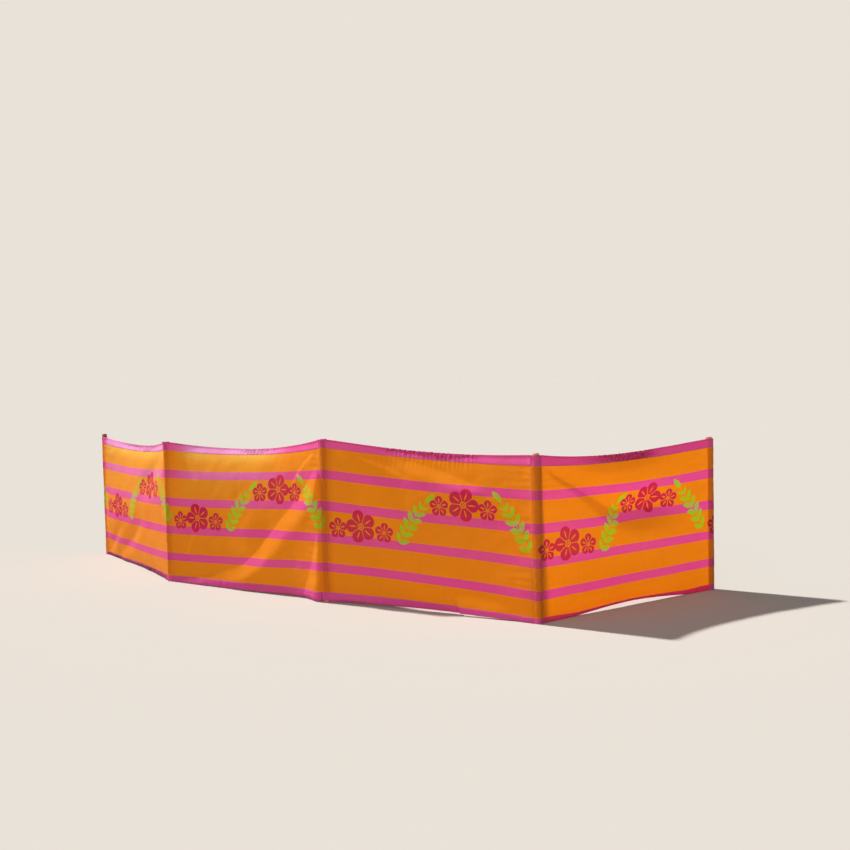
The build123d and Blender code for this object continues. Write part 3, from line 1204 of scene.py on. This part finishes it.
threads = []
x = along_bay(-0.002, 2 * round(1.19 / STITCH_GAP) + 1)
for bay in range(4):
    away = np.append(bay_axes(bay)[2], 0.0)
    rows = []
    for share in (0.06, 0.16):
        for side in (-1, 1):
            back, z, _, _ = top_hem_skin(bay, x, np.full_like(x, share), side)
            rows.append(row_from(in_world(bay, x, back + side * PROUD, z), side * away))
    thread = highlight_thread if bay < 2 else pink_thread
    threads.append(add_stitches(f"top_stitches_{bay + 1}", rows, thread))
    rows = []
    back, z, _, _, thick = foot_hem_grid(bay, x)
    for level in (1, 2):
        for side in (-1, 1):
            face = back[level] + side * (thick[level] + PROUD)
            rows.append(row_from(in_world(bay, x, face, z[level]), side * away))
    threads.append(add_stitches(f"foot_stitches_{bay + 1}", rows, pink_thread))

# %% Stitches of the sleeves
down = np.linspace(0.004, 0.893, 2 * round(0.885 / STITCH_GAP) + 1)[:, None]
for pole in range(5):
    loop, _ = sleeve_loop(pole)
    height = sleeve_height(pole, loop, down)
    reach = np.linalg.norm(loop, axis=1)
    rows = []
    for k in np.flatnonzero(reach >= reach.max() - 0.0004):
        for neighbour in ((k + 1) % len(loop), k - 1):
            way = loop[neighbour] - loop[k]
            way = way / np.linalg.norm(way)
            for out_share in (0.9, 1.8):
                plan = loop[k] + way * 0.0019 * out_share
                normal = np.array((way[1], -way[0]))
                normal = normal if normal @ plan > 0 else -normal
                here = np.tile(pole_feet[pole] + plan + PROUD * normal, (len(down), 1))
                rows.append(row_from(np.column_stack([here, height[:, k]]), np.append(normal, 0.0)))
    threads.append(add_stitches(f"sleeve_stitches_{pole + 1}", rows, orange_thread))
print("stitches in all:", sum(len(t.data.vertices) for t in threads) // 8)

# %% [markdown]
# ## Wooden poles
#
# The poles are plain rods, so their solids stay and only get a material. A rod is turned from a
# board, so its growth rings are centred outside it: lines on its sides and arcs on its ends come from
# one sum, the distance from the ring centre, bent by some noise.

# %% Shader group: turned wood
@shader_group("turned wood", x=0.0, y=0.0, z=0.0, ring=0.0032)
def turned_wood(x, y, z, ring):
    sway = noise(place(x * 6.0, y * 6.0, z * 1.6), 3.0)
    off_x, off_y = (sway - 0.5) * 0.02 + (x + 0.032), y + 0.018
    ring_run = reckon("SQRT", off_x * off_x + off_y * off_y)
    return {
        "grain": reckon("FRACT", ring_run / ring) ** 2.2,
        "fibre": noise(place(x * 900.0, y * 900.0, z * 26.0), 1.0, detail=3.0),
    }


# %% Wood for each pole
WOOD = ((0.62, 0.34, 0.13), (0.34, 0.15, 0.045))
POLE_TINTS = ((0.50, 0.30, 0.26), (0.95, 0.92, 0.88), (1.05, 1.0, 0.9), (1.15, 1.02, 0.92), (1.0, 0.86, 0.78))

for pole, tint in enumerate(POLE_TINTS):
    material, shader = new_material(f"pole wood {pole + 1}")
    x, y, z = split(source(material.node_tree, "TexCoord", "Object"))
    foot_x, foot_y = pole_feet[pole].tolist()
    wood = turned_wood(x=x - foot_x, y=y - foot_y, z=z + 0.7 * pole)
    pale, dark = (np.minimum(np.multiply(wood_colour, tint), 1).tolist() for wood_colour in WOOD)
    fibre = wood["fibre"] * 0.5 + 0.75
    colour = mix(wood["grain"], (*pale, 1), (*dark, 1))
    feed(shader, {
        "Base Color": mix(1.0, colour, place(fibre, fibre, fibre), "MULTIPLY"),
        "Roughness": wood["fibre"] * 0.3 + 0.38,
        "Normal": bumped(wood["fibre"] + wood["grain"] * -0.5, 0.0003),
    })
    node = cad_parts[f"pole_{pole + 1}"]
    node.data.materials.clear()
    node.data.materials.append(material)
print("poles given wood:", len(POLE_TINTS))

# %% [markdown]
# ## The pieces of each bay
#
# For each bay the pieces that go with its cloth are gathered in a list: its hems, the next sleeve and
# the stitches, with the first sleeve for the first bay and the tape end for the last. Cloth hardly stretches.

for bay, panel in enumerate(panels):
    with_it = [top_hems[bay], foot_hems[bay], sleeves[bay + 1]]
    with_it += [threads[2 * bay], threads[2 * bay + 1], threads[8 + bay + 1]]
    if bay == 0:
        with_it += [sleeves[0], threads[8]]
    if bay == 3:
        with_it += [tape_piece]
print("sheets declared:", len(panels))

# %% [markdown]
# ## Floor, light and camera
#
# The floor is a plain pale plane that keeps the shadow. One lamp stands high on the left, a little
# behind the row, and a pale surround fills the rest, stronger from the front left as if from a big pale
# wall. The second and third bay lie almost in line with the lamp, so their folds stand out. The camera
# sees the surround in the colour of the lit floor, so that no edge shows between them.

# %% Floor
FLOOR_COLOUR = (0.490, 0.462, 0.424)

bpy.ops.mesh.primitive_plane_add(size=400, location=(0, 60, 0))
floor = bpy.context.active_object
floor.name = "studio_floor"
floor_material, _ = new_material("pale floor")
tree = floor_material.node_tree
tree.nodes.clear()
matt = source(tree, "BsdfDiffuse", inputs={"Color": (*FLOOR_COLOUR, 1)})
feed(tree.nodes.new("ShaderNodeOutputMaterial"), {"Surface": matt})
floor.data.materials.append(floor_material)

# %% Lamp
TO_LAMP = Vector((-0.540, 0.322, 0.778))
LAMP_COLOUR = (1.0, 0.985, 0.96)

lamp_data = bpy.data.lights.new("broad lamp", "SUN")
lamp_data.energy = 5.3
lamp_data.angle = radians(2.4)
lamp_data.color = LAMP_COLOUR
lamp = bpy.data.objects.new("broad lamp", lamp_data)
lamp.rotation_euler = TO_LAMP.to_track_quat("Z", "Y").to_euler()
bpy.context.scene.collection.objects.link(lamp)

# %% [markdown]
# How bright the lit floor comes out is a short sum: what the lamp gives it, by the lamp's height, and
# what it gets from the surround and from the half of the wall's light that lies above the floor.

# %% Surround
SURROUND, SURROUND_COLOUR = 0.18, (0.97, 0.985, 1.0)
TO_WALL = Vector((-0.50, -0.86, 0.0)).normalized()
WALL = 0.86

turned = TO_WALL.angle(Vector((0, 0, 1)))
wall_on_floor = WALL * 2 / (3 * pi) * ((pi - turned) * cos(turned) + sin(turned))
on_floor = [
    colour * (lamp_data.energy / pi * TO_LAMP.normalized().z * warm + (SURROUND + wall_on_floor) * cool)
    for colour, warm, cool in zip(FLOOR_COLOUR, LAMP_COLOUR, SURROUND_COLOUR)
]
world = bpy.data.worlds.new("surround")
bpy.context.scene.world = world
world.use_nodes = True
tree = world.node_tree
tree.nodes.clear()
direction = source(tree, "TexCoord", "Generated")
towards = made_of("VectorMath", {0: direction, 1: TO_WALL}, "Value", operation="DOT_PRODUCT")
strength = reckon("MAXIMUM", towards, 0.0) * WALL + SURROUND
fill = made_of("Background", {"Color": (*SURROUND_COLOUR, 1), "Strength": strength})
seen = source(tree, "Background", inputs={"Color": (*on_floor, 1), "Strength": 1.0})
by_camera = source(tree, "LightPath", "Is Camera Ray")
either = made_of("MixShader", {0: by_camera, 1: fill, 2: seen})
feed(tree.nodes.new("ShaderNodeOutputWorld"), {"Surface": either})
bpy.context.scene.view_settings.view_transform = "Standard"
print("the lit floor comes out at", [round(colour, 3) for colour in on_floor])

# %% [markdown]
# The camera stands where the photographer stood: found by fitting the ends of the stripes and poles,
# 1.25 m up and 5.5 m in front, tilted down a little and not quite level.

# %% Camera
CAMERA_PLACE = Vector((0.5624, -5.5006, 1.2461))
PITCH, ROLL = radians(2.857), radians(-1.274)

camera_data = bpy.data.cameras.new("camera")
camera_data.sensor_width = 36
camera_data.lens = 36 * 1000 / 850
camera = bpy.data.objects.new("camera", camera_data)
upright, level = Vector((0, sin(PITCH), cos(PITCH))), Vector((1, 0, 0))
backward = Vector((0, -cos(PITCH), sin(PITCH)))
camera_x = cos(ROLL) * level + sin(ROLL) * upright
camera_y = cos(ROLL) * upright - sin(ROLL) * level
turned = Matrix((camera_x, camera_y, backward)).transposed()
camera.matrix_world = Matrix.Translation(CAMERA_PLACE) @ turned.to_4x4()
bpy.context.scene.collection.objects.link(camera)
bpy.context.scene.camera = camera
print("camera at", tuple(round(v, 3) for v in CAMERA_PLACE), "lens", round(camera_data.lens, 2))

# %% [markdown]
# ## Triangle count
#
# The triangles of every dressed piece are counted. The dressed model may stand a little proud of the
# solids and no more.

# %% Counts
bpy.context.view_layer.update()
triangles = {name: sum(len(p.vertices) - 2 for p in piece.data.polygons) for name, piece in made.items()}
print("triangles:", sum(triangles.values()), "most in one piece:", max(triangles.values()))
